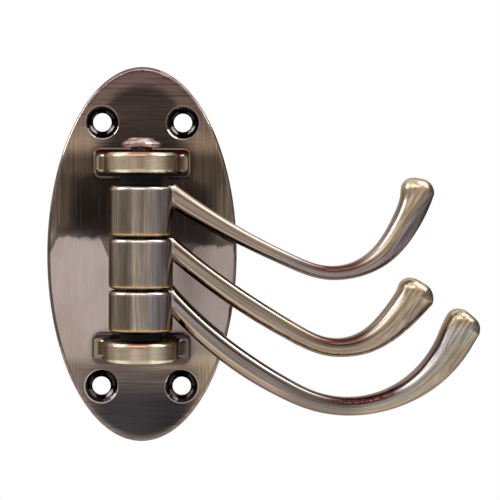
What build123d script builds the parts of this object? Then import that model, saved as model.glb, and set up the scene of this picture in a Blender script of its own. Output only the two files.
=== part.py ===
from build123d import *
from math import cos, radians, sin
import os

# Wall-mounted swivel hook with three curved arms.
# Millimetres. The back of the plate lies in the plane Y = 0 against the wall, the front
# faces -Y and +Z is up. The origin is the centre of the plate's back face.

# Oval plate, a casting with a shallow dome on its front
plate_height = 108.0
plate_width = 54.6
rim_thickness = 3.0
crown_height = 1.4
rim_round = 1.1

# Countersunk holes for the four wall screws
screw_span_x = 23.2
screw_span_z = 76.0
screw_hole_d = 5.3
countersink_d = 9.4

# Pivot pin, a rivet with a low domed head that stands a little off the upper lug
pin_d = 6.0
head_d = 11.4
head_rim = 0.9
head_dome = 2.7
neck_length = 1.4
head_round = 0.4
tail_chamfer = 0.5
tail_recess = 0.3

# Stack between the lugs, from the lower one up: ring, three barrels, ring
barrel_d = 18.1
upper_barrel_length = 14.3
middle_barrel_length = 14.3
lower_barrel_length = 11.8
barrel_round = 1.2
barrel_to_plate = 1.55
lower_ring_length = 2.4
upper_ring_length = 3.3
ring_d = 11.7
ring_chamfer = 0.3
stack_offset = -0.25

# Clearances
running_fit = 0.08
pin_seat_fit = 0.05
barrel_play = 0.4
ring_play = 0.1
arm_to_next_barrel = 0.4
cut_overrun = 1.0

# Lugs, cast in one with the plate
tongue_thickness = 5.9
tongue_beyond_barrel = 1.15
tongue_edge_round = 1.3
pad_width = 28.2
pad_height = 9.0
pad_step = 1.1
pad_corner = 2.4
pad_edge_round = 0.7
flare_radius = 3.0

# Hook arms. Each centreline runs in an upright plane through the pin as three tangent arcs:
# down from the barrel, round the bend and up into the tip. Angles are slopes above level.
# Depths and widths are given at the root, at the two shares along the first and second arc,
# at the end of the bend and at the tip.
arm_swing = 5.0
root_radius = 8.0
root_drop = 2.2
root_lead = 4.0
edge_share = 0.8
tip_round = 3.5
section_spacing = 6.0
slender_share = 0.6
bend_share = 0.4

upper_slopes = (-33.9, -22.4, 52.7, 79.5)
upper_lengths = (44.1, 28.0, 20.5)
upper_depths = (6.3, 4.3, 4.2, 6.9, 9.6)
upper_widths = (6.4, 5.8, 6.2, 8.4, 10.0)

middle_slopes = (-40.6, -27.6, 41.1, 60.0)
middle_lengths = (47.8, 23.9, 17.6)
middle_depths = (5.4, 5.7, 5.4, 7.9, 11.7)
middle_widths = (6.4, 6.2, 6.6, 8.8, 10.6)

lower_slopes = (-48.2, -25.5, 63.2, 50.7)
lower_lengths = (46.7, 53.1, 8.5)
lower_depths = (5.6, 6.4, 5.5, 10.2, 11.6)
lower_widths = (6.4, 6.2, 6.6, 9.8, 10.6)

# Places that follow from the sizes above
plate_thickness = rim_thickness + crown_height
barrel_r = barrel_d / 2
pin_r = pin_d / 2
axis_y = -(plate_thickness + barrel_to_plate + barrel_r)
nose_r = barrel_r + tongue_beyond_barrel
pad_face_y = -(plate_thickness + pad_step)
stack_length = (
    lower_ring_length + lower_barrel_length + middle_barrel_length + upper_barrel_length
    + upper_ring_length + 2 * barrel_play + 4 * ring_play
)
stack_bottom = stack_offset - stack_length / 2
stack_top = stack_offset + stack_length / 2
lower_barrel_z = stack_bottom + ring_play + lower_ring_length + ring_play
middle_barrel_z = lower_barrel_z + lower_barrel_length + barrel_play
upper_barrel_z = middle_barrel_z + middle_barrel_length + barrel_play
upper_ring_z = upper_barrel_z + upper_barrel_length + ring_play
lower_lug_z = stack_bottom - tongue_thickness / 2
upper_lug_z = stack_top + tongue_thickness / 2


def wall_plate():
    """Oval plate: a flat back, an upright rim and a domed front with a rounded edge."""
    half = plate_height / 2
    dome_r = (half**2 + crown_height**2) / (2 * crown_height)
    disc = Pos(0, dome_r - plate_thickness, 0) * Sphere(dome_r)
    disc &= Pos(0, -plate_thickness / 2, 0) * Box(
        2 * plate_height, plate_thickness, 2 * plate_height
    )
    oval_dome = scale(disc, by=(plate_width / plate_height, 1, 1))
    outline = Plane.XZ * Ellipse(plate_width / 2, half)
    plate = oval_dome & extrude(outline, amount=plate_thickness)
    front_rim = plate.edges().filter_by(lambda e: e.bounding_box().size.X > plate_width / 2)
    front_rim = front_rim.sort_by(Axis.Y)[0]
    return fillet(front_rim, rim_round)


def screw_holes():
    """Four countersunk holes, with the cone opening to the front."""
    sink_depth = (countersink_d - screw_hole_d) / 2
    holes = []
    for x in (-screw_span_x / 2, screw_span_x / 2):
        for z in (-screw_span_z / 2, screw_span_z / 2):
            face_y = front_height(x, z)
            profile = Polyline(
                (0, cut_overrun), (screw_hole_d / 2, cut_overrun),
                (screw_hole_d / 2, face_y + sink_depth),
                (countersink_d / 2 + cut_overrun, face_y - cut_overrun),
                (0, face_y - cut_overrun), close=True,
            )
            hole = revolve(make_face(profile), Axis.Y)
            holes.append(Pos(x, 0, z) * hole)
    return holes


def front_height(x, z):
    """Y of the domed front at a point of the plate."""
    half = plate_height / 2
    dome_r = (half**2 + crown_height**2) / (2 * crown_height)
    reach = ((x * plate_height / plate_width) ** 2 + z**2) ** 0.5
    return dome_r - plate_thickness - (dome_r**2 - reach**2) ** 0.5


def lug(height):
    """Lug for the pin: a rounded pad on the plate that flares into a half-round tongue."""
    pad_plane = Plane(origin=(0, -rim_thickness / 2, height), x_dir=(1, 0, 0), z_dir=(0, -1, 0))
    pad = extrude(
        pad_plane * RectangleRounded(pad_width, pad_height, pad_corner),
        amount=-pad_face_y - rim_thickness / 2,
    )
    pad = fillet(pad.faces().sort_by(Axis.Y)[0].edges(), pad_edge_round)
    tongue = extrude(
        Plane.XY.offset(height - tongue_thickness / 2) * tongue_plan(), amount=tongue_thickness
    )
    flat_faces = tongue.faces().filter_by(Axis.Z)
    rims = [e for f in flat_faces for e in f.edges() if e.center().Y < pad_face_y - tongue_edge_round / 10]
    tongue = fillet(rims, tongue_edge_round)
    return pad + tongue


def tongue_plan():
    """Tongue seen from above: a half-round nose about the pin, flaring out at the pad."""
    flare_y = pad_face_y - flare_radius
    root_y = -rim_thickness / 2
    wide = nose_r + flare_radius
    outline = [
        Line((nose_r, axis_y), (nose_r, flare_y)),
        RadiusArc((nose_r, flare_y), (wide, pad_face_y), flare_radius),
        Line((wide, pad_face_y), (wide, root_y)),
        Line((wide, root_y), (-wide, root_y)),
        Line((-wide, root_y), (-wide, pad_face_y)),
        RadiusArc((-wide, pad_face_y), (-nose_r, flare_y), flare_radius),
        Line((-nose_r, flare_y), (-nose_r, axis_y)),
        ThreePointArc((-nose_r, axis_y), (0, axis_y - nose_r), (nose_r, axis_y)),
    ]
    return make_face(outline)


def on_axis(shape, height):
    """A shape drawn about the Z axis, moved to the pin at the given height."""
    return Pos(0, axis_y, height) * shape


def shaft(radius, bottom, top):
    """Plain round bar about the pin's axis between two heights."""
    bar = Cylinder(radius, top - bottom, align=(Align.CENTER, Align.CENTER, Align.MIN))
    return on_axis(bar, bottom)


def back_plate():
    """Plate and both lugs, one casting, with the screw holes and the pin's seats."""
    body = wall_plate() + lug(lower_lug_z) + lug(upper_lug_z)
    for hole in screw_holes():
        body -= hole
    seat_r = pin_r + pin_seat_fit
    below = lower_lug_z - tongue_thickness
    above = upper_lug_z + tongue_thickness
    return body - shaft(seat_r, below, above)


def pivot_pin():
    """Pin through lugs, rings and barrels, with its domed head above the upper lug."""
    tail = lower_lug_z - tongue_thickness / 2 + tail_recess
    head_z = upper_lug_z + tongue_thickness / 2 + neck_length
    head_r = head_d / 2
    rim_z = head_z + head_rim
    dome_r = (head_r**2 + head_dome**2) / (2 * head_dome)
    outline = [
        Line((0, tail), (pin_r - tail_chamfer, tail)),
        Line((pin_r - tail_chamfer, tail), (pin_r, tail + tail_chamfer)),
        Line((pin_r, tail + tail_chamfer), (pin_r, head_z)),
        Line((pin_r, head_z), (head_r - head_round, head_z)),
        Line((head_r - head_round, head_z), (head_r, head_z + head_round)),
        Line((head_r, head_z + head_round), (head_r, rim_z)),
        RadiusArc((head_r, rim_z), (0, rim_z + head_dome), -dome_r),
        Line((0, rim_z + head_dome), (0, tail)),
    ]
    profile = Plane.XZ * make_face(outline)
    return on_axis(revolve(profile, Axis.Z), 0)


def barrel(bottom, length):
    """Barrel of a hook: a short drum with rounded rims, still without its bore."""
    drum = shaft(barrel_r, bottom, bottom + length)
    rims = drum.edges().filter_by(GeomType.CIRCLE)
    return fillet(rims, barrel_round)


def arm_section(depth, width):
    """Section of an arm: flat on its inner face, round below. Local Y points inwards."""
    half_w = width / 2
    half_d = depth / 2
    corner = edge_share * min(half_w, half_d)
    shoulder = half_d - corner
    below = [
        (-half_w * cos(radians(angle)), -half_d * sin(radians(angle)))
        for angle in range(0, 181, 30)
    ]
    outline = [
        Spline(below, tangents=((0, -1), (0, 1))),
        Line((half_w, 0), (half_w, shoulder)),
        CenterArc((half_w - corner, shoulder), corner, 0, 90),
        Line((half_w - corner, half_d), (corner - half_w, half_d)),
        CenterArc((corner - half_w, shoulder), corner, 90, 90),
        Line((-half_w, shoulder), (-half_w, 0)),
    ]
    return make_face(outline)


def across(radius, height, slope):
    """Plane across an arm's centreline, with its local Y on the side of the inner face."""
    tilt = radians(slope)
    return Plane(origin=(radius, 0, height), x_dir=(0, 1, 0), z_dir=(cos(tilt), 0, sin(tilt)))


def blend(marks, values, place):
    """Value at a place along the arm, on a smooth curve through the values at the marks."""
    last = len(marks) - 1
    k = max(i for i in range(last) if i == 0 or marks[i] <= place)
    span = marks[k + 1] - marks[k]
    rises = []
    for i in (k, k + 1):
        low, high = max(i - 1, 0), min(i + 1, last)
        rises.append(span * (values[high] - values[low]) / (marks[high] - marks[low]))
    share = max(place - marks[k], 0) / span
    return (
        values[k] * (1 + 2 * share) * (1 - share) ** 2
        + values[k + 1] * (3 - 2 * share) * share**2
        + rises[0] * share * (1 - share) ** 2
        - rises[1] * (1 - share) * share**2
    )


def arc_end(start, slope_1, slope_2, length):
    """Where an arc ends that leaves a point (radius, height) at one slope and turns to another."""
    turn = radians(slope_2 - slope_1)
    chord = length if abs(turn) < 1e-6 else 2 * length / turn * sin(turn / 2)
    heading = radians((slope_1 + slope_2) / 2)
    return start[0] + chord * cos(heading), start[1] + chord * sin(heading)


def arm_stations(slopes, lengths, root_z):
    """Places along an arm's three arcs, as (distance, radius, height, slope)."""
    tilt = radians(slopes[0])
    lead = (root_radius - root_lead * cos(tilt), root_z - root_lead * sin(tilt))
    stations = [(-root_lead, *lead, slopes[0]), (0, root_radius, root_z, slopes[0])]
    for slope_1, slope_2, length in zip(slopes, slopes[1:], lengths):
        distance, radius, height, slope = stations[-1]
        cuts = max(1, round(length / section_spacing))
        for cut in range(1, cuts + 1):
            share = cut / cuts
            slope = slope_1 + (slope_2 - slope_1) * share
            end = arc_end((radius, height), slope_1, slope, length * share)
            stations.append((distance + length * share, *end, slope))
    return stations


def arm(slopes, lengths, depths, widths, root_z):
    """Arm of a hook with its blunt rounded tip, swung about the pin to where it hangs at rest."""
    total = sum(lengths)
    bend_end = lengths[0] + lengths[1]
    waist = slender_share * lengths[0]
    in_bend = lengths[0] + bend_share * lengths[1]
    marks = (0, waist, in_bend, bend_end, total)
    sections = []
    for distance, radius, height, slope in arm_stations(slopes, lengths, root_z):
        size = (blend(marks, depths, distance), blend(marks, widths, distance))
        sections.append(across(radius, height, slope) * arm_section(*size))
    bar = loft(sections)
    end_face = bar.faces().filter_by(GeomType.PLANE).sort_by_distance(sections[-1].center())[0]
    bar = fillet(end_face.edges(), tip_round)
    return on_axis(Rot(0, 0, arm_swing) * bar, 0)


def hook(bottom, length, slopes, lengths, depths, widths):
    """One swinging hook: its arm and barrel are cast in one, then bored for the pin."""
    top = bottom + length
    root_z = top - root_drop
    bar = arm(slopes, lengths, depths, widths, root_z)
    above = shaft(barrel_r + arm_to_next_barrel, top, top + length)
    casting = barrel(bottom, length) + (bar - above)
    return casting - shaft(pin_r + running_fit, bottom - cut_overrun, top + cut_overrun)


def spacer_ring(bottom, length):
    """Ring on the pin that keeps an end barrel off its lug."""
    top = bottom + length
    ring = shaft(ring_d / 2, bottom, top)
    ring = chamfer(ring.edges().filter_by(GeomType.CIRCLE), ring_chamfer)
    return ring - shaft(pin_r + running_fit, bottom - cut_overrun, top + cut_overrun)


pieces = {
    "back_plate": back_plate(),
    "pivot_pin": pivot_pin(),
    "lower_spacer": spacer_ring(stack_bottom + ring_play, lower_ring_length),
    "upper_spacer": spacer_ring(upper_ring_z, upper_ring_length),
    "upper_hook": hook(
        upper_barrel_z, upper_barrel_length, upper_slopes, upper_lengths, upper_depths, upper_widths
    ),
    "middle_hook": hook(
        middle_barrel_z, middle_barrel_length, middle_slopes, middle_lengths, middle_depths,
        middle_widths,
    ),
    "lower_hook": hook(
        lower_barrel_z, lower_barrel_length, lower_slopes, lower_lengths, lower_depths, lower_widths
    ),
}

os.makedirs("parts", exist_ok=True)
for name, piece in pieces.items():
    export_step(piece, f"parts/{name}.step")
    print(name, "volume", round(piece.volume, 1), "valid", piece.is_valid)
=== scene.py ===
import bpy
from math import cos, pi, radians, sin
from mathutils import Matrix, Vector


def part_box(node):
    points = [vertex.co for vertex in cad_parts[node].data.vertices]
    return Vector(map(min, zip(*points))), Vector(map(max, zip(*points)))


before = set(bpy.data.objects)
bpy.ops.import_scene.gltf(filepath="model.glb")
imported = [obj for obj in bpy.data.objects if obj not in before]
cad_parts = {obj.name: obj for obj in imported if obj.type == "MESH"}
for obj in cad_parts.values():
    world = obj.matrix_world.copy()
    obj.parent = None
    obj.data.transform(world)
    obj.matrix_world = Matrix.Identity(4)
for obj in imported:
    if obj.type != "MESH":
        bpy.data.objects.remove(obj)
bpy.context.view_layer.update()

# All lengths are metres, all colours linear. A pair handed to step or band is the range over
# which a mask rises from 0 to 1, also where its first number is the larger one.

# Camera, from where the plate, lugs and pin fall in the photograph
CAMERA_PLACE = (0.0155, -0.5832, 0.0227)
CAMERA_YAW = 1.54
CAMERA_PITCH = -2.09
CAMERA_ROLL = 0.34
FOCAL_PIXELS = 2014.4
IMAGE_PIXELS = 500
SENSOR_MM = 36.0

# Studio: curved screens that the metal mirrors. Their tones go by azimuth, 0 at the front
SCREEN_R = 1.0
SCREEN_TILT = 2.0
SCREEN_FACES = 90
HORIZON = -0.020
DARK_TOP = 0.060
SCREENS = {
    "low_screen": (-0.40, HORIZON, [
        (-160, (0.08, 0.07, 0.06)), (-132, (0.14, 0.12, 0.11)), (-112, (0.42, 0.38, 0.34)),
        (-60, (0.22, 0.21, 0.19)), (-34, (0.32, 0.31, 0.29)), (-25, (0.97, 0.96, 0.95)),
        (-2, (0.95, 0.95, 0.97)), (6, (0.52, 0.51, 0.52)), (12, (0.80, 0.79, 0.78)),
        (20, (0.46, 0.46, 0.47)), (40, (0.46, 0.46, 0.48)), (75, (0.28, 0.28, 0.30)),
        (110, (0.22, 0.20, 0.20)), (132, (0.14, 0.12, 0.11)), (160, (0.08, 0.07, 0.06)),
    ]),
    "dark_screen": (HORIZON, DARK_TOP, [
        (-160, (0.10, 0.08, 0.07)), (-132, (0.16, 0.14, 0.13)), (-112, (0.38, 0.34, 0.31)),
        (-60, (0.22, 0.20, 0.19)), (-36, (0.28, 0.25, 0.23)), (-24, (0.80, 0.76, 0.72)),
        (-16, (0.50, 0.46, 0.43)), (-12, (0.13, 0.11, 0.105)), (9, (0.15, 0.125, 0.12)),
        (15, (0.95, 0.91, 0.84)), (30, (0.80, 0.76, 0.70)), (42, (0.60, 0.57, 0.54)),
        (70, (0.30, 0.28, 0.28)), (110, (0.24, 0.21, 0.20)), (132, (0.16, 0.14, 0.13)),
        (160, (0.10, 0.08, 0.07)),
    ]),
    "high_screen": (DARK_TOP, 0.55, [
        (-160, (0.50, 0.46, 0.45)), (-104, (0.50, 0.46, 0.44)), (-60, (0.34, 0.31, 0.30)),
        (-24, (0.60, 0.55, 0.50)), (-8, (0.42, 0.37, 0.33)), (10, (0.36, 0.31, 0.27)),
        (22, (0.62, 0.57, 0.50)), (50, (0.42, 0.39, 0.37)), (104, (0.12, 0.10, 0.09)),
        (160, (0.12, 0.10, 0.09)),
    ]),
}
# Soft lamps: place, size and radiance
LAMPS = {
    "front_strip": ((-0.1, -0.75, 0.66), (0.9, 0.34), 2.2),
    "left_strip": ((-0.93, -0.10, 0.42), (0.50, 0.75), 4.2),
    "right_strip": ((0.78, -0.10, 0.92), (0.42, 0.95), 3.6),
}
LAMP_AIM = (0.02, 0.0, 0.0)
SKY_ON_OBJECT = 0.6
FLOOR_Z = -0.4
FLOOR_HALF = 4.0
FLOOR_GREY = (0.85, 0.85, 0.85)
WHITE = (1, 1, 1)

# Object
PIN_Y = -0.015
PLATE_HALF_X = 0.0273
PLATE_HALF_Z = 0.054
BARREL_R = 0.00905
BARREL_SIDE_X = -0.0085
OUTSIDE = 0.1
HOLE_X = 0.0116
HOLE_Z = 0.038
HOLES = [(x, z) for x in (-HOLE_X, HOLE_X) for z in (-HOLE_Z, HOLE_Z)]
SINK_R = 0.0047
LUG_Z = 0.0266
LUG_SHIFT = -0.00025
ARM_SWING = radians(5)
ARM_SLOPE = 0.0875
TIP_LEAN = radians(57)
ARM_SAMPLES = 15
# Curve nodes take numbers from 0 to 1, so lengths are scaled and heights also lifted for them
CURVE_SCALE = 10.0
CURVE_LIFT = 0.5

# Depths (y) at which the plate's back ends and its lugs and tongues begin
BACK_FROM = (-0.0006, -0.0002)
LUG_FROM = (-0.0046, -0.0050)
TONGUE_FROM = (-0.0060, -0.0075)

# Texture scales per metre along x, y and z, or along the coordinates of an arm
LEVEL_LINES = (60.0, 1.0, 2800.0)
SIDE_LINES = (4200.0, 1.0, 60.0)
LUG_LINES = (90.0, 900.0, 2600.0)
LEVEL_BANDS = (30.0, 1.0, 1300.0)
SIDE_BANDS = (2000.0, 1.0, 30.0)
BAND_SLICE = 3.0  # another slice of the texture, so that the bands don't repeat the lines
EDGE_WAVES = (260.0, 1.0, 60.0)
PLATE_PATCHES = (90.0, 90.0, 60.0)
PLATE_WAVES = (75.0, 75.0, 60.0)
LUG_BLOTCHES = (260.0, 260.0, 500.0)
CAST_SKIN = (160.0, 900.0, 900.0)
RUN_LINES = (13.0, 700.0, 55.0)
RUN_STREAKS = (5.0, 250.0, 14.0)
RUN_SCRATCHES = (12.0, 400.0, 12.0)
RISE_LINES = (1300.0, 1300.0, 55.0)
RISE_STREAKS = (500.0, 500.0, 18.0)
BARREL_LINES = (1500.0, 1500.0, 70.0)
BARREL_PATCHES = (110.0, 110.0, 110.0)
RUST_SPECKS = (1100.0, 1100.0, 1100.0)
HOOK_WAVES = (70.0, 70.0, 70.0)
PIN_DENTS = (700.0, 700.0, 700.0)
PIN_RUBS = (300.0, 300.0, 1500.0)
RING_MARKS = (200.0, 200.0, 4000.0)
RING_DUST = (500.0, 500.0, 500.0)
# Detail and roughness of the noise
CRISP = (5.0, 0.7)
FIBROUS = (4.0, 0.65)
WAVY = (4.0, 0.6)
STREAKY = (3.0, 0.6)
# Depth of the reliefs
FINE_RELIEF = 0.000004
WAVE_RELIEF = 0.0001
DENT_RELIEF = 0.0003
MARK_RELIEF = 0.00005

# Tones of the plated metal
GREY_BRASS = (0.47, 0.385, 0.355)
BEIGE_BRASS = (0.40, 0.31, 0.255)
CAST_BACK = ((0.20, 0.16, 0.14), (0.26, 0.215, 0.19))
LACQUER_TINT = (0.55, 0.46, 0.42)
# Painted shade in the gaps between barrels.
GAP_SHADE = (0.055, 0.04, 0.036)
MAROON = (0.05, 0.008, 0.008)
COPPER = (0.13, 0.05, 0.034)
DULL_COPPER = (0.10, 0.045, 0.040)
PINK = (0.88, 0.75, 0.72)
# Painted shade: the dark line along an arm's underside and top edge.
PAINTED_DARK_LINE = (0.05, 0.03, 0.022)
# Painted highlights along the arms' upper edges and tips.
PAINTED_HIGHLIGHT = (1.0, 0.93, 0.85)
SOFT_PAINTED_HIGHLIGHT = (0.86, 0.80, 0.72)

# Tones of each hook. "run" goes across the arm from its underside (0) to its top (1), "tip" does
# so where the arm rises, and "bow" mutes the run at the lowest part. "red" is the worn red upper
# edge, also painted shade where the edge's highlight fades: the distances from the pin between
# which it is full, and its colour. The lines and bands follow the photograph and are painted
# reflections on the metal: painted highlights where pale, painted shade where dark.
HOOKS = {
    "upper_hook": {
        "red": (0.053, 0.060, COPPER),
        "bow": (0.34, 0.29, 0.30),
        "run": [
            (0.00, PAINTED_DARK_LINE), (0.09, PAINTED_DARK_LINE), (0.18, (0.52, 0.41, 0.35)), (0.30, (0.68, 0.55, 0.48)),
            (0.39, (0.36, 0.28, 0.25)), (0.47, (0.76, 0.64, 0.55)), (0.60, (0.70, 0.58, 0.48)),
            (0.72, (0.46, 0.38, 0.31)), (0.80, (0.66, 0.54, 0.43)), (0.90, (0.62, 0.50, 0.40)),
            (0.96, (0.40, 0.33, 0.26)),
        ],
        "tip": [
            (0.10, (0.26, 0.22, 0.22)), (0.28, (0.30, 0.26, 0.26)), (0.36, (0.56, 0.50, 0.50)),
            (0.42, (0.34, 0.28, 0.26)), (0.50, (0.74, 0.61, 0.44)), (0.60, (0.82, 0.68, 0.46)),
            (0.70, (0.90, 0.76, 0.54)), (0.76, SOFT_PAINTED_HIGHLIGHT), (0.84, SOFT_PAINTED_HIGHLIGHT),
            (0.90, (0.50, 0.41, 0.37)), (1.00, (0.40, 0.34, 0.33)),
        ],
    },
    "middle_hook": {
        "red": (0.055, 0.061, COPPER),
        "bow": (0.42, 0.34, 0.26),
        "run": [
            (0.00, PAINTED_DARK_LINE), (0.05, PAINTED_DARK_LINE), (0.12, (0.80, 0.58, 0.40)), (0.26, (0.98, 0.82, 0.64)),
            (0.38, (0.42, 0.35, 0.28)), (0.48, (0.52, 0.45, 0.37)), (0.60, (0.66, 0.56, 0.48)),
            (0.70, (0.42, 0.34, 0.27)), (0.78, (0.24, 0.19, 0.13)), (0.85, (0.72, 0.60, 0.49)),
            (0.90, (0.72, 0.60, 0.49)), (0.94, PAINTED_DARK_LINE),
        ],
        "tip": [
            (0.10, (0.40, 0.33, 0.27)), (0.36, (0.50, 0.40, 0.30)), (0.46, (0.74, 0.61, 0.44)),
            (0.60, (0.82, 0.68, 0.46)), (0.70, (0.90, 0.76, 0.54)), (0.76, PAINTED_HIGHLIGHT), (0.84, PAINTED_HIGHLIGHT),
            (0.90, (0.60, 0.49, 0.39)), (1.00, (0.46, 0.40, 0.35)),
        ],
    },
    "lower_hook": {
        "red": (0.058, 0.071, MAROON),
        "bow": (0.27, 0.23, 0.20),
        "run": [
            (0.00, (0.16, 0.12, 0.10)), (0.08, (0.40, 0.33, 0.26)), (0.15, (0.86, 0.72, 0.57)),
            (0.32, (0.80, 0.67, 0.55)), (0.42, (0.34, 0.27, 0.20)), (0.51, (0.56, 0.52, 0.51)),
            (0.62, (0.54, 0.51, 0.54)), (0.70, (0.20, 0.14, 0.13)), (0.79, (0.18, 0.13, 0.11)),
            (0.85, SOFT_PAINTED_HIGHLIGHT), (0.90, SOFT_PAINTED_HIGHLIGHT), (0.94, PAINTED_DARK_LINE),
        ],
        "tip": [
            (0.10, (0.45, 0.38, 0.30)), (0.32, (0.60, 0.51, 0.38)), (0.40, (0.74, 0.66, 0.55)),
            (0.56, (0.70, 0.65, 0.58)), (0.64, (0.80, 0.79, 0.77)), (0.71, WHITE), (0.80, WHITE),
            (0.84, (0.12, 0.08, 0.07)), (0.90, (0.16, 0.11, 0.09)), (0.94, (0.46, 0.38, 0.33)),
        ],
    },
}


def make_camera():
    """Camera at the photograph's place, turned by yaw, pitch and roll from straight ahead."""
    yaw, pitch, roll = (radians(a) for a in (CAMERA_YAW, CAMERA_PITCH, CAMERA_ROLL))
    ahead = Vector((sin(yaw) * cos(pitch), cos(yaw) * cos(pitch), sin(pitch)))
    level = Vector((cos(yaw), -sin(yaw), 0))
    upright = level.cross(ahead)
    right = level * cos(roll) + upright * sin(roll)
    up = upright * cos(roll) - level * sin(roll)
    data = bpy.data.cameras.new("camera")
    data.sensor_width = SENSOR_MM
    data.lens = FOCAL_PIXELS / IMAGE_PIXELS * SENSOR_MM
    camera = bpy.data.objects.new("camera", data)
    turn = Matrix((right, up, -ahead)).transposed()
    camera.matrix_world = Matrix.Translation(CAMERA_PLACE) @ turn.to_4x4()
    bpy.context.collection.objects.link(camera)
    bpy.context.scene.camera = camera


class Nodes:
    """Short calls that add nodes to one tree. Each returns the output that the next ones use."""

    def __init__(self, tree):
        self.tree = tree
        tree.nodes.clear()

    def put(self, socket, value):
        """Links an output to a socket, or sets the socket's own value."""
        if isinstance(value, bpy.types.NodeSocket):
            self.tree.links.new(value, socket)
        elif socket.type == "RGBA":
            socket.default_value = (*value, 1)
        else:
            socket.default_value = value

    def add(self, kind, settings=None, **values):
        """One node, with its settings and the values of its sockets by name."""
        node = self.tree.nodes.new("ShaderNode" + kind)
        for name, value in (settings or {}).items():
            setattr(node, name, value)
        for name, value in values.items():
            self.put(node.inputs[name.replace("_", " ")], value)
        return node

    def math(self, operation, *values):
        node = self.add("Math", {"operation": operation})
        for socket, value in zip(node.inputs, values):
            self.put(socket, value)
        return node.outputs[0]

    def plus(self, a, b):
        return self.math("ADD", a, b)

    def minus(self, a, b):
        return self.math("SUBTRACT", a, b)

    def times(self, first, *others):
        for other in others:
            first = self.math("MULTIPLY", first, other)
        return first

    def size(self, value):
        return self.math("ABSOLUTE", value)

    def length(self, a, b):
        return self.math("SQRT", self.plus(self.times(a, a), self.times(b, b)))

    def rest(self, share):
        """What a share leaves over."""
        return self.minus(1.0, share)

    def blend(self, share, a, b):
        """Value a turned to value b by a share."""
        return self.plus(a, self.times(share, self.minus(b, a)))

    def axes(self):
        """X, Y and Z of the surface point in the object's own frame."""
        place = self.add("TexCoord").outputs["Object"]
        return tuple(self.add("SeparateXYZ", Vector=place).outputs)

    def stretch(self, axes, factors):
        """Place in a texture: each axis times its own factor."""
        x, y, z = (self.times(axis, factor) for axis, factor in zip(axes, factors))
        return self.add("CombineXYZ", X=x, Y=y, Z=z).outputs[0]

    def step(self, value, low, high):
        """0 below low, 1 above high, smooth between. High may be the smaller one."""
        node = self.add("MapRange", {"interpolation_type": "SMOOTHSTEP"}, Value=value)
        ends = (high, low, 1.0, 0.0) if low > high else (low, high, 0.0, 1.0)
        for name, end in zip(("From Min", "From Max", "To Min", "To Max"), ends):
            node.inputs[name].default_value = end
        return node.outputs[0]

    def band(self, value, rise, fall):
        """1 between two ranges: rising from 0 over the first, falling back over the second."""
        return self.times(self.step(value, *rise), self.step(value, *fall))

    def spread(self, value, low, high):
        """A 0 to 1 value mapped to a range."""
        node = self.add("MapRange", {"clamp": True}, Value=value)
        node.inputs["To Min"].default_value = low
        node.inputs["To Max"].default_value = high
        return node.outputs[0]

    def noise(self, place, detail=3.0, rough=0.55):
        node = self.add("TexNoise", Vector=place, Scale=1.0, Detail=detail, Roughness=rough)
        return node.outputs["Fac"]

    def joined(self, settings, share, a, b):
        """Mix node of any kind: a turned to b by a share."""
        node = self.add("Mix", settings)
        sockets = [s for s in node.inputs if s.enabled]
        for socket, value in zip(sockets, (share, a, b)):
            self.put(socket, value)
        return [s for s in node.outputs if s.enabled][0]

    def mix(self, share, a, b, blend="MIX"):
        """Colour a turned to colour b by a share."""
        return self.joined({"data_type": "RGBA", "blend_type": blend}, share, a, b)

    def darken(self, share, colour, by):
        """Colour multiplied by another one, by a share."""
        return self.mix(share, colour, by, "MULTIPLY")

    def ramp(self, value, stops):
        """Colour by a value, straight between stops of (place, colour)."""
        node = self.add("ValToRGB", Fac=value)
        scale = node.color_ramp
        scale.interpolation = "LINEAR"
        while len(scale.elements) < len(stops):
            scale.elements.new(0.5)
        for element, (place, colour) in zip(scale.elements, stops):
            element.position = place
            element.color = (*colour, 1)
        return node.outputs["Color"]

    def curve(self, value, points):
        """Smooth curve through points whose two coordinates lie between 0 and 1."""
        node = self.add("FloatCurve", Value=value)
        line = node.mapping.curves[0]
        while len(line.points) < len(points):
            line.points.new(0.5, 0.5)
        for point, place in zip(line.points, points):
            point.location = place
        node.mapping.update()
        return node.outputs[0]


def new_material(name):
    material = bpy.data.materials.new(name)
    material.use_nodes = True
    return material, Nodes(material.node_tree)


def new_object(name, points, faces):
    mesh = bpy.data.meshes.new(name)
    mesh.from_pydata(points, [], faces)
    piece = bpy.data.objects.new(name, mesh)
    bpy.context.collection.objects.link(piece)
    return piece


def make_screen(name, low, high, tones):
    """Curved screen around the object that only reflections see, between two heights."""
    first, last = tones[0][0], tones[-1][0]
    points = []
    for i in range(SCREEN_FACES + 1):
        a = radians(first + (last - first) * i / SCREEN_FACES)
        points += [(SCREEN_R * sin(a), -SCREEN_R * cos(a), z) for z in (low, high)]
    faces = [(2 * i, 2 * i + 2, 2 * i + 3, 2 * i + 1) for i in range(SCREEN_FACES)]
    screen = new_object(name, points, faces)
    screen.rotation_euler.y = radians(SCREEN_TILT)
    screen.visible_camera = False
    screen.visible_shadow = False
    screen.visible_diffuse = False
    screen.visible_transmission = False
    material, n = new_material(name)
    x, y, z = n.axes()
    azimuth = n.math("ARCTAN2", x, n.times(y, -1.0))
    share = n.math("DIVIDE", n.minus(azimuth, radians(first)), radians(last - first))
    stops = [((a - first) / (last - first), colour) for a, colour in tones]
    glow = n.add("Emission", Color=n.ramp(share, stops))
    n.add("OutputMaterial", Surface=glow.outputs[0])
    screen.data.materials.append(material)


def make_lamp(name, place, size, radiance):
    data = bpy.data.lights.new(name, "AREA")
    data.shape = "RECTANGLE"
    data.size, data.size_y = size
    data.energy = radiance * pi * size[0] * size[1]
    lamp = bpy.data.objects.new(name, data)
    lamp.location = place
    facing = Vector(LAMP_AIM) - Vector(place)
    lamp.rotation_euler = facing.to_track_quat("-Z", "Y").to_euler()
    bpy.context.collection.objects.link(lamp)


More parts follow.
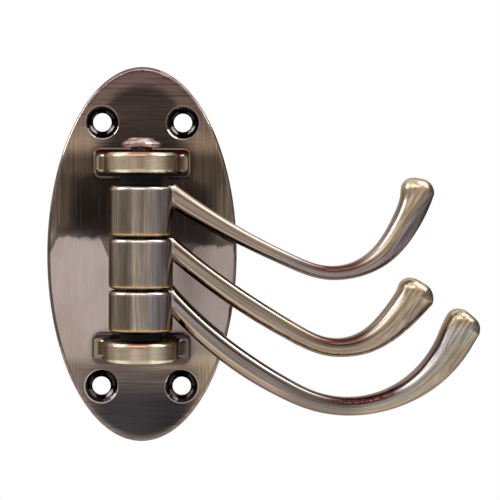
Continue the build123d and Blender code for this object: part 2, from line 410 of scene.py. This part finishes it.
def white_where_seen(n):
    """1 for camera, glossy and transmission rays, which show the white background."""
    rays = n.add("LightPath").outputs
    seen = n.math("MAXIMUM", rays["Is Camera Ray"], rays["Is Glossy Ray"])
    return n.math("MAXIMUM", seen, rays["Is Transmission Ray"])


def make_world():
    """White where it is seen, and dimmer as light on the object."""
    world = bpy.data.worlds.new("studio")
    bpy.context.scene.world = world
    world.use_nodes = True
    n = Nodes(world.node_tree)
    level = n.spread(white_where_seen(n), SKY_ON_OBJECT, 1.0)
    sky = n.add("Background", Color=WHITE, Strength=level)
    n.add("OutputWorld", Surface=sky.outputs[0])


def make_floor():
    """Plain pale floor, far below the object and merging with the white background."""
    corners = [(-1, -1), (1, -1), (1, 1), (-1, 1)]
    points = [(x * FLOOR_HALF, y * FLOOR_HALF, 0) for x, y in corners]
    board = new_object("floor", points, [(0, 1, 2, 3)])
    board.location.z = FLOOR_Z
    material, n = new_material("floor")
    matt = n.add("BsdfDiffuse", Color=FLOOR_GREY)
    white = n.add("Emission", Color=WHITE)
    blend = n.add("MixShader", Fac=white_where_seen(n))
    n.put(blend.inputs[1], matt.outputs[0])
    n.put(blend.inputs[2], white.outputs[0])
    n.add("OutputMaterial", Surface=blend.outputs[0])
    board.data.materials.append(material)


def brushed(n, colour, grain, wave, roughness, coat, depth=FINE_RELIEF):
    """Plated, brushed and lacquered metal. Grain and wave are the fine and the broad relief."""
    relief = n.add("Bump", Height=grain, Strength=0.5, Distance=depth)
    ripple = n.add("Bump", Height=wave, Strength=0.5, Distance=WAVE_RELIEF,
                   Normal=relief.outputs[0])
    lacquer = n.add("Bump", Height=wave, Strength=0.5, Distance=WAVE_RELIEF)
    metal = n.add("BsdfPrincipled", Base_Color=colour, Metallic=1.0, Roughness=roughness,
                  Normal=ripple.outputs[0], Specular_Tint=LACQUER_TINT, Coat_Weight=coat,
                  Coat_Roughness=0.06, Coat_Normal=lacquer.outputs[0])
    n.add("OutputMaterial", Surface=metal.outputs[0])


class PlatePlace:
    """Where a point of the plate lies: axes, shares of the oval's half axes, and masks."""

    def __init__(self, n):
        diagonal, crown_top, crown_bottom = (-0.25, 0.10), (0.004, 0.012), (-0.029, -0.033)
        x, y, z = n.axes()
        self.x, self.z = x, z
        self.all = (x, y, z)
        self.off_centre = n.size(x)
        self.u = n.size(n.times(x, 1 / PLATE_HALF_X))
        self.v = n.size(n.times(z, 1 / PLATE_HALF_Z))
        self.oval = n.length(self.u, self.v)
        self.top = n.step(z, -0.01, 0.01)
        self.right = n.step(x, -0.004, 0.004)
        self.sides = n.step(n.minus(self.u, self.v), *diagonal)
        self.back = n.step(y, *BACK_FROM)
        self.lug = n.step(y, *LUG_FROM)
        self.tongue = n.step(y, *TONGUE_FROM)
        # height above the middle of the nearer lug
        self.above = n.minus(n.minus(z, LUG_SHIFT), n.times(n.math("SIGN", z), LUG_Z))
        crown = n.math("MAXIMUM", n.step(z, *crown_top), n.step(z, *crown_bottom))
        self.crown = n.times(crown, n.rest(self.lug))


def plate_grain(n, p):
    """Fine brushing: level at the ends, upright along the sides."""
    level_place = n.stretch((p.x, 0.0, p.z), LEVEL_LINES)
    lug_place = n.stretch(p.all, LUG_LINES)
    place = n.joined({"data_type": "VECTOR"}, p.lug, level_place, lug_place)
    level = n.noise(place, *CRISP)
    side = n.noise(n.stretch((p.x, 0.0, p.z), SIDE_LINES), *CRISP)
    return n.blend(n.times(p.sides, n.rest(p.lug)), level, side)


def pale_edge(n, p):
    """Height above the wavy line where the plate's pale lower half ends and the painted shade
    begins.
    """
    left_corner, left_slope, left_height = (-0.0272, -0.0236), (-0.0096, -0.0122), 0.0050
    right_slope, right_height = (0.0125, 0.0165), 0.0025
    wave_height = 0.0050
    wave = n.noise(n.stretch((p.x, 0.0, p.z), EDGE_WAVES), *WAVY)
    left_rise = n.times(n.band(p.x, left_corner, left_slope), left_height)
    right_rise = n.times(n.step(p.x, *right_slope), right_height)
    height = n.minus(p.z, n.plus(left_rise, right_rise))
    return n.plus(height, n.times(n.minus(wave, 0.5), wave_height))


def plate_halves(n, p):
    """Pale lower half and painted shade on the upper half. In the photograph the line between them
    is probably the edge of a reflection. Here it is painted on the surface as a painted
    reflection."""
    side, middle = (0.30, 0.24, 0.185), (0.125, 0.100, 0.084)
    high, shade_by_line = (0.25, 0.20, 0.155), (0.13, 0.10, 0.09)
    middle_from, high_from = (0.0225, 0.0190), (0.012, 0.024)
    by_line_from, line = (0.0045, 0.0015), (-0.0005, 0.0005)
    patch = n.noise(n.stretch(p.all, PLATE_PATCHES))
    pale = n.mix(n.step(patch, 0.35, 0.7), GREY_BRASS, BEIGE_BRASS)
    edge = pale_edge(n, p)
    # Painted shade above the line: darker in the middle, lighter higher up, dark again just above
    # the line.
    shade = n.mix(n.step(p.off_centre, *middle_from), side, middle)
    shade = n.mix(n.step(p.z, *high_from), shade, high)
    shade = n.mix(n.step(edge, *by_line_from), shade, shade_by_line)
    return n.mix(n.step(edge, *line), pale, shade)


def plate_ends(n, p, grain, colour):
    """Dark above the middle and at both ends: painted shade over the upper middle and under the
    lower lug, darker still towards the bottom end, a paler arc at the top edge, and warmer zones
    beside the lugs painted as reflections."""
    low_left, low_right, high = (0.31, 0.235, 0.175), (0.72, 0.56, 0.38), (0.98, 0.78, 0.59)
    arc_tone, outer, inner = (0.50, 0.37, 0.35), (0.100, 0.070, 0.070), (0.046, 0.032, 0.033)
    shade_under_lug, bottom = (0.13, 0.10, 0.085), (0.030, 0.024, 0.028)
    warm_from, warm_to, right_from = (0.50, 0.60), (0.90, 0.78), (-0.004, 0.010)
    arc_oval, arc_z, inner_z = (0.865, 0.925), (0.030, 0.042), (0.041, 0.034)
    upper_z, upper_u, upper_share = (0.008, 0.030), (0.62, 0.28), 0.93
    below_z, below_u, below_share = (-0.0305, -0.0345), (0.80, 0.42), 0.85
    lower_z, lower_u, lower_share = (-0.034, -0.043), (0.70, 0.34), 0.95

    ragged = n.plus(p.u, n.times(n.minus(grain, 0.5), 0.5))
    arc = n.times(n.step(p.oval, *arc_oval), n.step(p.z, *arc_z))
    upper = n.times(n.step(p.z, *upper_z), n.step(ragged, *upper_u), n.rest(arc), upper_share)
    below = n.times(n.step(p.z, *below_z), n.step(ragged, *below_u), below_share)
    lower = n.times(n.step(p.z, *lower_z), n.step(ragged, *lower_u), lower_share)

    # Painted reflection: warmer zones beside the lugs, brightest at the top, lighter on the right
    # than on the left below.
    warm_sheen = n.mix(n.step(p.x, *right_from), low_left, low_right)
    warm_sheen = n.mix(p.top, warm_sheen, high)
    colour = n.mix(n.band(p.v, warm_from, warm_to), colour, warm_sheen)
    colour = n.mix(arc, colour, arc_tone)
    # Painted shade over the middle of the upper half, darkest lower down and paler towards the top
    # edge.
    colour = n.mix(upper, colour, n.mix(n.step(p.z, *inner_z), outer, inner))
    # Painted shade just under the lower lug; below it, darker still towards the bottom end.
    colour = n.mix(below, colour, shade_under_lug)
    return n.mix(lower, colour, bottom)


def plate_rim(n, p, colour):
    """Rim of the oval: brown below, brassy along the upper sides as a painted highlight on the
    rounded edge, dull red at the top.
    """
    low, side, top = (0.34, 0.26, 0.215), (0.62, 0.50, 0.38), (0.15, 0.085, 0.075)
    rim_oval, side_z, top_z, share = (0.955, 0.99), (0.000, 0.012), (0.036, 0.046), 0.75
    # Brassy upper sides: a painted highlight along the rounded edge.
    tone = n.mix(n.step(p.z, *side_z), low, side)
    tone = n.mix(n.step(p.z, *top_z), tone, top)
    return n.mix(n.times(n.step(p.oval, *rim_oval), share), colour, tone)


def pad_tones(n, p, colour):
    """Lugs' pads: dark as painted shade standing for a dark reflection, with golden ends painted
    lit, brighter on the upper lug and on the left, a red upper ledge on the upper one and a dull
    crest darkened as painted shade, darkest on the lower lug.
    """
    pad, low_ledge, high_ledge = (0.09, 0.065, 0.05), (0.028, 0.010, 0.010), (0.15, 0.012, 0.010)
    low_crest, high_crest = (0.05, 0.036, 0.034), (0.14, 0.10, 0.09)
    low_lit_ends = ((0.28, 0.22, 0.13), (0.15, 0.115, 0.085))
    high_lit_ends = ((0.50, 0.40, 0.27), (0.30, 0.22, 0.15))
    ledge_from, ledge_to, crest_from = (0.0027, 0.0031), (0.0041, 0.0038), (0.0039, 0.0042)
    end_height, end_u, end_share = (0.0031, 0.0026), (0.36, 0.41), 0.9

    # Painted shade: the pad dark, standing for a dark reflection.
    colour = n.mix(p.lug, colour, pad)
    ledge = n.band(p.above, ledge_from, ledge_to)
    colour = n.mix(n.times(p.lug, ledge), colour, n.mix(p.top, low_ledge, high_ledge))
    # Painted shade on the crest, darkest on the lower lug.
    crest = n.step(p.above, *crest_from)
    colour = n.mix(n.times(p.lug, crest), colour, n.mix(p.top, low_crest, high_crest))
    # Painted light: golden ends lit, brighter on the upper lug and on the left.
    end = n.times(n.step(n.size(p.above), *end_height), n.step(p.u, *end_u), end_share)
    lit_end_tone = n.mix(p.top, n.mix(p.right, *low_lit_ends), n.mix(p.right, *high_lit_ends))
    return n.mix(n.times(p.lug, end), colour, lit_end_tone)


def tongue_tones(n, p, colour):
    """Lugs' tongues: golden, with two pale patches painted as highlights and a copper stain at the
    upper edge.
    """
    gold, highlight_gold, stain_tone = (0.58, 0.46, 0.33), (1.0, 0.88, 0.64), (0.42, 0.17, 0.12)
    highlight_x, highlight_width, highlight_strength = 0.0050, (0.0030, 0.0008), (0.5, 1.3)
    stain_height, stain_width, stain_share = (0.0008, 0.0024), (0.0046, 0.0022), 0.7
    blotch = n.noise(n.stretch(p.all, LUG_BLOTCHES), 2.0)
    offset = n.size(n.minus(p.off_centre, highlight_x))
    highlight_patches = n.times(n.step(offset, *highlight_width), n.spread(blotch, *highlight_strength))
    # Painted highlights: two pale patches on the curved nose.
    colour = n.mix(p.tongue, colour, n.mix(highlight_patches, gold, highlight_gold))
    stain = n.times(n.step(p.above, *stain_height), n.step(p.off_centre, *stain_width))
    return n.mix(n.times(stain, stain_share, p.tongue), colour, stain_tone)


def brushing_tones(n, p, grain, colour):
    """Broad bands and fine lines of the brushing, strongest at the plate's ends."""
    band_tone, gilt_tone = (0.56, 0.53, 0.52), (0.50, 0.40, 0.26)
    soft_lines, strong_lines = (0.86, 0.84, 0.83), (0.52, 0.49, 0.48)
    dark_band, gilt_band, gilt_share, dark_line = (0.38, 0.64), (0.44, 0.34), 0.55, (0.35, 0.75)
    level = n.noise(n.stretch((p.x, BAND_SLICE, p.z), LEVEL_BANDS), *CRISP)
    side = n.noise(n.stretch((p.x, BAND_SLICE, p.z), SIDE_BANDS), *CRISP)
    bands = n.blend(p.sides, level, side)
    colour = n.darken(n.times(p.crown, n.step(bands, *dark_band)), colour, band_tone)
    gilt = n.times(p.sides, p.crown, n.step(bands, *gilt_band), gilt_share)
    colour = n.mix(gilt, colour, gilt_tone)
    lines = n.mix(p.crown, soft_lines, strong_lines)
    return n.darken(n.step(grain, *dark_line), colour, lines)


def near_holes(n, p):
    """Distance to the nearest screw hole's axis."""
    gaps = [n.length(n.minus(p.x, x), n.minus(p.z, z)) for x, z in HOLES]
    nearest = gaps[0]
    for gap in gaps[1:]:
        nearest = n.math("MINIMUM", nearest, gap)
    return nearest


def hole_tones(n, p, colour):
    """Countersinks dark with painted shade, a thin pale ring, and two pale arcs low in each. In
    the photograph the arcs are probably reflections. Here they are painted reflections on the
    surface."""
    sink_shade, ring_tone, arc_tone = (0.045, 0.037, 0.036), (0.66, 0.56, 0.52), (0.72, 0.64, 0.60)
    sink_edge = (SINK_R + 0.0001, SINK_R - 0.0002)
    ring_from, ring_to, ring_share = (0.0046, 0.0047), (0.0050, 0.0049), 0.7
    arc_from, arc_to = (0.0028, 0.0030), (0.0039, 0.0035)
    arc_height, arc_aside = (-0.0002, -0.0014), (0.0009, 0.0018)
    hole = near_holes(n, p)
    # Painted shade in the countersink.
    colour = n.mix(n.step(hole, *sink_edge), colour, sink_shade)
    ring = n.times(n.band(hole, ring_from, ring_to), ring_share)
    colour = n.mix(ring, colour, ring_tone)
    height = n.minus(p.z, n.times(n.math("SIGN", p.z), HOLE_Z))
    aside = n.size(n.minus(p.off_centre, HOLE_X))
    # Painted reflections: two pale arcs low in each countersink.
    arcs = n.times(n.band(hole, arc_from, arc_to), n.step(height, *arc_height),
                   n.step(aside, *arc_aside))
    return n.mix(arcs, colour, arc_tone), arcs


def corner_shade(n, colour):
    """Darker in the inner corners of the casting: partly the finish's dark recesses, partly
    painted shade.
    """
    reach, open_range, recess_dark_and_shade = 0.0035, (0.95, 0.45), (0.25, 0.22, 0.22)
    open_sky = n.add("AmbientOcclusion", {"samples": 6, "only_local": True}, Distance=reach)
    # Partly dark finish in the recesses, partly painted shade.
    return n.darken(n.step(open_sky.outputs["AO"], *open_range), colour, recess_dark_and_shade)


def plate_metal():
    """Casting of plate and lugs: brushed, darker at both ends with painted shade, and a plain
    back.
    """
    rough_range, tongue_rough, dull_rough = (0.02, 0.07), 0.22, 0.30
    material, n = new_material("plate_brass")
    p = PlatePlace(n)
    grain = plate_grain(n, p)
    colour = plate_ends(n, p, grain, plate_halves(n, p))
    colour = plate_rim(n, p, colour)
    colour = tongue_tones(n, p, pad_tones(n, p, colour))
    colour = brushing_tones(n, p, grain, colour)
    colour, arcs = hole_tones(n, p, colour)
    colour = corner_shade(n, colour)
    skin = n.noise(n.stretch(p.all, CAST_SKIN), *CRISP)
    colour = n.mix(p.back, colour, n.mix(n.step(skin, 0.30, 0.70), *CAST_BACK))
    rough = n.plus(n.spread(grain, *rough_range), n.times(p.tongue, tongue_rough))
    rough = n.plus(rough, n.times(n.math("MAXIMUM", arcs, p.back), dull_rough))
    wave = n.noise(n.stretch(p.all, PLATE_WAVES), 1.5)
    brushed(n, colour, grain, wave, rough, coat=0.6)
    return material


def arm_heights(name):
    """Heights of an arm's top and underside against the distance from the pin, as curve points."""
    node = bpy.data.objects[name]
    start, end = 0.010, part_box(name)[1][0] - 0.0005
    tops, lows = [], []
    for i in range(ARM_SAMPLES):
        r = start + (end - start) * i / (ARM_SAMPLES - 1)
        x, y = r * cos(ARM_SWING), PIN_Y + r * sin(ARM_SWING)
        down = node.ray_cast(Vector((x, y, OUTSIDE)), Vector((0, 0, -1)))
        up = node.ray_cast(Vector((x, y, -OUTSIDE)), Vector((0, 0, 1)))
        if down[0] and up[0]:
            tops.append((r * CURVE_SCALE, down[1].z * CURVE_SCALE + CURVE_LIFT))
            lows.append((r * CURVE_SCALE, up[1].z * CURVE_SCALE + CURVE_LIFT))
    return tops, lows


def barrel_ends(name):
    """Lowest and highest point of a hook's barrel, on its outer side away from the arm."""
    node = bpy.data.objects[name]
    up = node.ray_cast(Vector((BARREL_SIDE_X, PIN_Y, -OUTSIDE)), Vector((0, 0, 1)))[1].z
    down = node.ray_cast(Vector((BARREL_SIDE_X, PIN_Y, OUTSIDE)), Vector((0, 0, -1)))[1].z
    return up, down


class HookPlace:
    """Where a point of a hook lies: axes, distance from the pin (r), share of the arm's height
    (across), and coordinates for the grain along the arm (run) and along its tip (rise)."""

    def __init__(self, n, name):
        tip_from, thinnest, barrel_edge = 0.06, 0.01, (BARREL_R + 0.0010, BARREL_R + 0.0002)
        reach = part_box(name)[1][0]
        x, y, z = n.axes()
        self.x, self.z = x, z
        self.all = (x, y, z)
        behind_pin = n.minus(y, PIN_Y)
        self.r = n.length(x, behind_pin)
        tops, lows = arm_heights(name)
        tip_heights = [height for r, height in tops if r > tip_from * CURVE_SCALE]
        self.tip_top = (max(tip_heights) - CURVE_LIFT) / CURVE_SCALE
        curve_r = n.times(self.r, CURVE_SCALE)
        curve_z = n.plus(n.times(z, CURVE_SCALE), CURVE_LIFT)
        top, low = n.curve(curve_r, tops), n.curve(curve_r, lows)
        depth = n.math("MAXIMUM", n.minus(top, low), thinnest)
        self.across = n.math("DIVIDE", n.minus(curve_z, low), depth)
        side = n.minus(behind_pin, n.times(x, ARM_SLOPE))
        over = n.minus(n.times(x, sin(TIP_LEAN)), n.times(z, cos(TIP_LEAN)))
        onward = n.plus(n.times(x, cos(TIP_LEAN)), n.times(z, sin(TIP_LEAN)))
        self.run = (self.across, side, self.r)
        self.rise = (over, side, onward)
        self.barrel = n.step(self.r, *barrel_edge)
        self.raised = n.step(self.r, reach - 0.018, reach - 0.008)
        self.rise_grain = n.noise(n.stretch(self.rise, RISE_LINES), *FIBROUS)


def arm_tones(n, h, bow, run, tip):
    """Colour along an arm: lengthwise bands of painted reflection, highlight and shade, a muted
    lowest part, and a pale tip with a cap painted lit.
    """
    low_from, low_to, low_share = (0.034, 0.046), (0.070, 0.058), 0.75
    tip_from, cap_depth, cap_from = (0.058, 0.072), (0.0075, 0.0030), (0.060, 0.066)
    root, sway, lit_cap_tone = (0.026, 0.046), 0.08, (0.74, 0.60, 0.43)
    dark_line, root_lines, later_lines = (0.42, 0.60), (0.44, 0.40, 0.38), (0.72, 0.68, 0.66)
    dark_streak, streak_tone = (0.42, 0.66), (0.74, 0.71, 0.69)

    run_streak = n.noise(n.stretch(h.run, RUN_STREAKS), *STREAKY)
    rise_streak = n.noise(n.stretch(h.rise, RISE_STREAKS), *STREAKY)
    streak = n.blend(h.raised, run_streak, rise_streak)
    run_fine = n.noise(n.stretch(h.run, RUN_SCRATCHES), *STREAKY)
    fine = n.blend(h.raised, run_fine, h.rise_grain)

    wander = n.plus(h.across, n.times(n.minus(streak, 0.5), sway))
    low_part = n.times(n.band(h.r, low_from, low_to), low_share)
    # The run and tip ramps are painted reflections: highlights where pale, shade where dark.
    tone = n.mix(low_part, n.ramp(wander, run), bow)
    tone = n.mix(n.step(h.r, *tip_from), tone, n.ramp(wander, tip))
    cap = n.step(h.z, *(h.tip_top - depth for depth in cap_depth))
    # Painted light: the cap at the top of the tip, paler where it is lit.
    tone = n.mix(n.times(cap, n.step(h.r, *cap_from)), tone, lit_cap_tone)
    lines = n.mix(n.step(h.r, *root), root_lines, later_lines)
    tone = n.darken(n.step(fine, *dark_line), tone, lines)
    return n.darken(n.step(streak, *dark_streak), tone, streak_tone)


def barrel_tones(n, h):
    """Colour of a barrel: beige and olive patches, greyer on the arm's side as a painted
    reflection tint.
    """
    beige, olive, reflection_grey = (0.45, 0.38, 0.33), (0.40, 0.335, 0.25), (0.44, 0.395, 0.385)
    patch = n.noise(n.stretch(h.all, BARREL_PATCHES))
    tone = n.mix(n.step(patch, 0.35, 0.65), beige, olive)
    # Painted reflection tint: greyer on the arm's side.
    return n.mix(n.step(h.x, 0.0, 0.004), tone, reflection_grey)


def red_edge(n, h, red, colour):
    """Upper edge worn red near the lowest point of the bend, dark enough to stand as painted shade
    where the edge's highlight fades.
    """
    first, last, tone = red
    before, after, edge_from, edge_to = 0.012, 0.008, (0.55, 0.72), (1.02, 0.95)
    bend = n.band(h.r, (first - before, first), (last + after, last))
    edge = n.band(h.across, edge_from, edge_to)
    speck = n.noise(n.stretch(h.all, RUST_SPECKS), 2.0)
    rust = n.mix(n.step(speck, 0.40, 0.60), tone, DULL_COPPER)
    return n.mix(n.times(bend, edge), colour, rust)


def barrel_rims(n, h, name, colour):
    """Barrel's rims: pale above as a painted highlight, golden below, partly worn brass and partly
    a painted reflection, and dark in the gap to the next barrel as painted shade.
    """
    gold, pale, pale_share, gap_shade_share = (0.60, 0.43, 0.24), (0.85, 0.78, 0.72), 0.7, 0.8
    bottom, top = barrel_ends(name)
    low_rim = n.times(h.barrel, n.step(h.z, bottom + 0.0018, bottom + 0.0008))
    rim_highlight = n.times(h.barrel, n.step(h.z, top - 0.0014, top - 0.0006), pale_share)
    gap = n.times(h.barrel, n.step(h.z, bottom + 0.0006, bottom + 0.0002), gap_shade_share)
    # Golden lower rim: partly worn brass, partly a painted reflection.
    colour = n.mix(low_rim, colour, gold)
    # Painted highlight on the upper rim.
    colour = n.mix(rim_highlight, colour, pale)
    # Painted shade in the gap to the next barrel.
    return n.mix(gap, colour, GAP_SHADE)


def hook_metal(name, red, bow, run, tip):
    """Casting of one hook: upright grain on its barrel, grain along its arm, rims partly worn,
    with painted highlight and painted shade.
    """
    arm_lines, barrel_lines, dark_line = (0.80, 0.78, 0.76), (0.62, 0.59, 0.55), (0.35, 0.72)
    rough_range, barrel_rough, tip_rough, tip_from = (0.11, 0.20), 0.06, 0.13, (0.058, 0.076)
    material, n = new_material(name + "_brass")
    h = HookPlace(n, name)
    along = n.stretch(h.run, RUN_LINES)
    upright = n.stretch(h.all, BARREL_LINES)
    place = n.joined({"data_type": "VECTOR"}, h.barrel, along, upright)
    grain = n.blend(h.raised, n.noise(place, *FIBROUS), h.rise_grain)

    colour = n.mix(h.barrel, arm_tones(n, h, bow, run, tip), barrel_tones(n, h))
    colour = red_edge(n, h, red, colour)
    colour = barrel_rims(n, h, name, colour)
    lines = n.mix(h.barrel, arm_lines, barrel_lines)
    colour = n.darken(n.step(grain, *dark_line), colour, lines)
    wave = n.noise(n.stretch(h.all, HOOK_WAVES), 1.0)
    rough = n.plus(n.spread(grain, *rough_range), n.times(h.barrel, barrel_rough))
    rough = n.plus(rough, n.times(n.step(h.r, *tip_from), tip_rough))
    brushed(n, colour, grain, wave, rough, coat=0.12)
    return material


def pin_metal():
    """Peened rivet head: pale and pitted, with a dark neck."""
    shadow, neck, neck_edge = (0.35, 0.22, 0.19), (0.05, 0.035, 0.03), (0.0040, 0.0034)
    material, n = new_material("pin_metal")
    place = n.axes()
    r = n.length(place[0], n.minus(place[1], PIN_Y))
    dents = n.noise(n.stretch(place, PIN_DENTS))
    rub = n.noise(n.stretch(place, PIN_RUBS), 4.0)
    colour = n.mix(n.step(rub, 0.35, 0.65), PINK, shadow)
    colour = n.mix(n.step(r, *neck_edge), colour, neck)
    brushed(n, colour, dents, rub, n.spread(rub, 0.10, 0.22), coat=0.3, depth=DENT_RELIEF)
    return material


def ring_plastic():
    """Black nylon ring with faint turning marks and dust."""
    black, dusty = (0.006, 0.005, 0.006), (0.018, 0.015, 0.015)
    material, n = new_material("black_nylon")
    place = n.axes()
    marks = n.noise(n.stretch(place, RING_MARKS))
    dust = n.noise(n.stretch(place, RING_DUST))
    colour = n.mix(n.step(dust, 0.5, 0.8), black, dusty)
    relief = n.add("Bump", Height=marks, Strength=0.3, Distance=MARK_RELIEF)
    nylon = n.add("BsdfPrincipled", Base_Color=colour, Roughness=n.spread(marks, 0.4, 0.6),
                  Specular_IOR_Level=0.12, Normal=relief.outputs[0])
    n.add("OutputMaterial", Surface=nylon.outputs[0])
    return material


def dress(name, material):
    for slot in bpy.data.objects[name].material_slots:
        slot.material = material


make_camera()
make_world()
make_floor()
for name, screen in SCREENS.items():
    make_screen(name, *screen)
for name, lamp in LAMPS.items():
    make_lamp(name, *lamp)

dress("back_plate", plate_metal())
dress("pivot_pin", pin_metal())
nylon = ring_plastic()
dress("lower_spacer", nylon)
dress("upper_spacer", nylon)
for name, tones in HOOKS.items():
    dress(name, hook_metal(name, **tones))
bpy.context.scene.view_settings.view_transform = "Standard"
